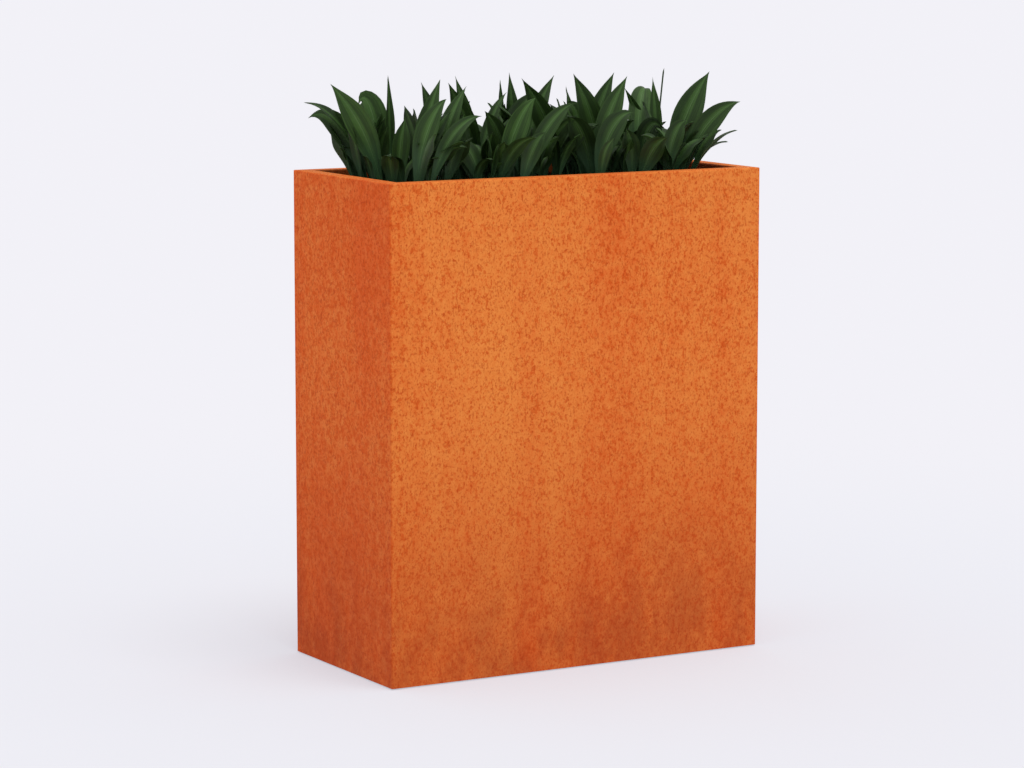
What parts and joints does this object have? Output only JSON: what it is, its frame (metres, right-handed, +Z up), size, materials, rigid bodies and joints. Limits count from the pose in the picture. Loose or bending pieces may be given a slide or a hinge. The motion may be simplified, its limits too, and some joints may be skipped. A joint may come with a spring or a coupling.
{
  "type": "planter box",
  "caption": "Tall rectangular planter in weathering steel with a folded rim, levelling feet and a lift-out planted liner.",
  "frame": {"origin": "on the ground below the middle of the box", "axes": "+X to the right along the wide front, +Y to the back, +Z up"},
  "size_m": [0.86, 0.42, 1.2],
  "materials": {
    "weathering_steel": "matt rust patina",
    "galvanised_steel": "dull spangled zinc",
    "zinc_plating": "satin zinc plating",
    "black_nylon": "matt moulded",
    "clay_pebbles": "matt porous",
    "fleece": "needled felt",
    "potting_soil": "matt crumbly",
    "leaf": "semi-gloss leaf"
  },
  "bodies": {
    "casing": {"front_shell": "weathering_steel", "back_panel": "weathering_steel", "front_stiffener_left": "weathering_steel", "front_stiffener_right": "weathering_steel", "back_stiffener_left": "weathering_steel", "back_stiffener_right": "weathering_steel", "base_rail_front": "galvanised_steel", "base_rail_back": "galvanised_steel", "base_rail_left": "galvanised_steel", "base_rail_right": "galvanised_steel", "foot_plate_front_left": "galvanised_steel", "foot_plate_front_right": "galvanised_steel", "foot_plate_back_left": "galvanised_steel", "foot_plate_back_right": "galvanised_steel", "foot_nuts": "zinc_plating", "ledge_angle_left": "galvanised_steel", "ledge_angle_right": "galvanised_steel", "support_bar_front": "galvanised_steel", "support_bar_middle": "galvanised_steel", "support_bar_back": "galvanised_steel", "bar_bolts": "zinc_plating", "bar_washers": "zinc_plating", "bar_nuts": "zinc_plating"},
    "liner": {"liner_tub": "galvanised_steel", "drainage_layer": "clay_pebbles", "filter_fleece": "fleece", "soil": "potting_soil", "ring_clip_left": "galvanised_steel", "ring_clip_right": "galvanised_steel", "clip_rivets": "zinc_plating", "plant_far_left": "leaf", "plant_left": "leaf", "plant_middle": "leaf", "plant_right": "leaf", "plant_far_right": "leaf"},
    "lifting_ring_left": {"lifting_ring_left": "zinc_plating"},
    "lifting_ring_right": {"lifting_ring_right": "zinc_plating"},
    "foot_pad_front_left": {"foot_pad_front_left": "black_nylon"},
    "foot_stud_front_left": {"foot_stud_front_left": "zinc_plating"},
    "foot_pad_front_right": {"foot_pad_front_right": "black_nylon"},
    "foot_stud_front_right": {"foot_stud_front_right": "zinc_plating"},
    "foot_pad_back_left": {"foot_pad_back_left": "black_nylon"},
    "foot_stud_back_left": {"foot_stud_back_left": "zinc_plating"},
    "foot_pad_back_right": {"foot_pad_back_right": "black_nylon"},
    "foot_stud_back_right": {"foot_stud_back_right": "zinc_plating"}
  },
  "joints": [
    {"name": "liner_lift", "type": "slide", "parent": "casing", "child": "liner", "axis": [0, 0, 1], "range_m": [0, 0.46]},
    {"name": "ring_swing_left", "type": "hinge", "parent": "liner", "child": "lifting_ring_left", "pos_m": [-0.3805, 0, 0.92], "axis": [0, -1, 0], "range_deg": [0, 165]},
    {"name": "ring_swing_right", "type": "hinge", "parent": "liner", "child": "lifting_ring_right", "pos_m": [0.3805, 0, 0.92], "axis": [0, 1, 0], "range_deg": [0, 165]},
    {"name": "foot_height_front_left", "type": "slide", "parent": "casing", "child": "foot_pad_front_left", "axis": [0, 0, -1], "range_m": [0, 0.0245]},
    {"name": "foot_turn_front_left", "type": "hinge", "parent": "foot_pad_front_left", "child": "foot_stud_front_left", "pos_m": [-0.353, -0.133, 0.03], "axis": [0, 0, -1], "range_deg": [0, 5040]},
    {"name": "foot_height_front_right", "type": "slide", "parent": "casing", "child": "foot_pad_front_right", "axis": [0, 0, -1], "range_m": [0, 0.0245]},
    {"name": "foot_turn_front_right", "type": "hinge", "parent": "foot_pad_front_right", "child": "foot_stud_front_right", "pos_m": [0.353, -0.133, 0.03], "axis": [0, 0, -1], "range_deg": [0, 5040]},
    {"name": "foot_height_back_left", "type": "slide", "parent": "casing", "child": "foot_pad_back_left", "axis": [0, 0, -1], "range_m": [0, 0.0245]},
    {"name": "foot_turn_back_left", "type": "hinge", "parent": "foot_pad_back_left", "child": "foot_stud_back_left", "pos_m": [-0.353, 0.133, 0.03], "axis": [0, 0, -1], "range_deg": [0, 5040]},
    {"name": "foot_height_back_right", "type": "slide", "parent": "casing", "child": "foot_pad_back_right", "axis": [0, 0, -1], "range_m": [0, 0.0245]},
    {"name": "foot_turn_back_right", "type": "hinge", "parent": "foot_pad_back_right", "child": "foot_stud_back_right", "pos_m": [0.353, 0.133, 0.03], "axis": [0, 0, -1], "range_deg": [0, 5040]}
  ],
  "couplings": [
    {"joint": "foot_turn_front_left", "follows": "foot_height_front_left", "rad_per_m": 3590.4},
    {"joint": "foot_turn_front_right", "follows": "foot_height_front_right", "rad_per_m": 3590.4},
    {"joint": "foot_turn_back_left", "follows": "foot_height_back_left", "rad_per_m": 3590.4},
    {"joint": "foot_turn_back_right", "follows": "foot_height_back_right", "rad_per_m": 3590.4}
  ]
}
